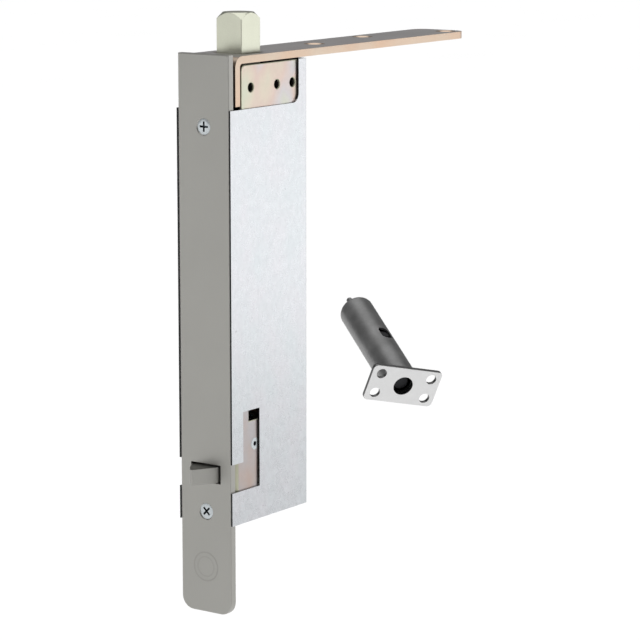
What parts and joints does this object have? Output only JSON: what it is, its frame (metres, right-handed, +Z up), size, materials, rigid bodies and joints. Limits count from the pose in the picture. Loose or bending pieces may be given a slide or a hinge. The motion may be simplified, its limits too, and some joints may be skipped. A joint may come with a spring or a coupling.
{
  "type": "constant latching flush bolt set",
  "caption": "Mortised self-latching flush bolt for a door edge: long case, wedge trigger, top strap and square bolt, with a separate tubular fire bolt.",
  "frame": {"origin": "front of the face plate, middle of its width, level with the top of the door (the strap's underside), 3.9 mm below the plate's top", "axes": "+X into the door from the face plate, +Y along the door's thickness, +Z up along the bolt"},
  "size_m": [0.188, 0.0704, 0.244],
  "materials": {
    "satin_steel": "satin nickel-like finish",
    "galvanised": "galvanised sheet, faint spangle",
    "yellow_zinc": "yellow iridescent zinc plating",
    "bright_zinc": "bright zinc plating",
    "bearing_brass": "machined",
    "guide_nylon": "black nylon",
    "bolt_plate": "pale zinc plating",
    "spring_steel": "drawn wire",
    "satin_light": "satin stainless",
    "grey_steel": "dull grey steel",
    "dark_steel": "dark steel",
    "fuse_alloy": "cast low-melting alloy"
  },
  "bodies": {
    "housing": {"face_plate": "satin_steel", "case_shell": "galvanised", "top_strap": "yellow_zinc", "guide_bracket": "yellow_zinc", "guide_block": "guide_nylon", "face_screw_upper": "bright_zinc", "face_screw_lower": "bright_zinc", "screw_tab_upper": "galvanised", "screw_tab_lower": "galvanised", "leg_screw_near": "dark_steel", "leg_screw_far": "dark_steel", "guide_rivet_near": "bright_zinc", "guide_rivet_far": "bright_zinc", "seat_rivet_near": "bright_zinc", "seat_rivet_far": "bright_zinc", "crank_rivet_upper": "bright_zinc", "crank_rivet_lower": "bright_zinc", "spring_seat": "galvanised", "crank_bracket": "yellow_zinc", "crank_pivot_pin": "bright_zinc", "pivot_clip": "spring_steel", "trigger_frame": "yellow_zinc", "frame_spacer": "bright_zinc"},
    "bolt": {"bolt_head": "bolt_plate", "bolt_rod": "bright_zinc", "cross_pin": "bright_zinc", "rod_nut_upper": "bright_zinc", "rod_nut_lower": "bright_zinc", "spring_collar": "bright_zinc", "collar_clip": "spring_steel", "bolt_spring": "spring_steel", "rod_yoke": "bolt_plate"},
    "crank": {"crank_plate_near": "yellow_zinc", "crank_plate_far": "yellow_zinc", "crank_hub": "bearing_brass", "crank_rod_pin": "bright_zinc", "crank_trigger_pin": "bright_zinc"},
    "trigger": {"trigger": "satin_steel", "trigger_slide": "yellow_zinc", "trigger_screw": "bright_zinc"},
    "fire_bolt": {"fire_plate": "satin_light", "fire_tube": "grey_steel", "fire_cap": "grey_steel", "fire_fuse": "fuse_alloy", "fire_spring": "spring_steel"},
    "fire_pin": {"fire_pin": "dark_steel"}
  },
  "joints": [
    {"name": "bolt_slide", "type": "slide", "parent": "housing", "child": "bolt", "axis": [0, 0, -1], "range_m": [0, 0.0165], "stiffness_N_per_m": 300, "springref_m": -0.02, "deforming": ["bolt_spring"]},
    {"name": "crank_pivot", "type": "hinge", "parent": "housing", "child": "crank", "pos_m": [0.04127, 0, -0.1557], "axis": [0, -1, 0], "range_deg": [0, 52.05]},
    {"name": "trigger_slide", "type": "slide", "parent": "housing", "child": "trigger", "axis": [1, 0, 0], "range_m": [0, 0.00951]},
    {"name": "fire_bolt_place", "type": "slide", "parent": "housing", "child": "fire_bolt", "axis": [-0.5415, -0.7605, -0.3583], "range_m": [0, 0.02]},
    {"name": "fire_pin_slide", "type": "slide", "parent": "fire_bolt", "child": "fire_pin", "axis": [-0.5415, -0.7605, -0.3583], "range_m": [0, 0.019]}
  ],
  "couplings": [
    {"joint": "crank_pivot", "follows": "bolt_slide", "rad_per_m": 55.004},
    {"joint": "trigger_slide", "follows": "bolt_slide", "ratio": 0.57576}
  ]
}
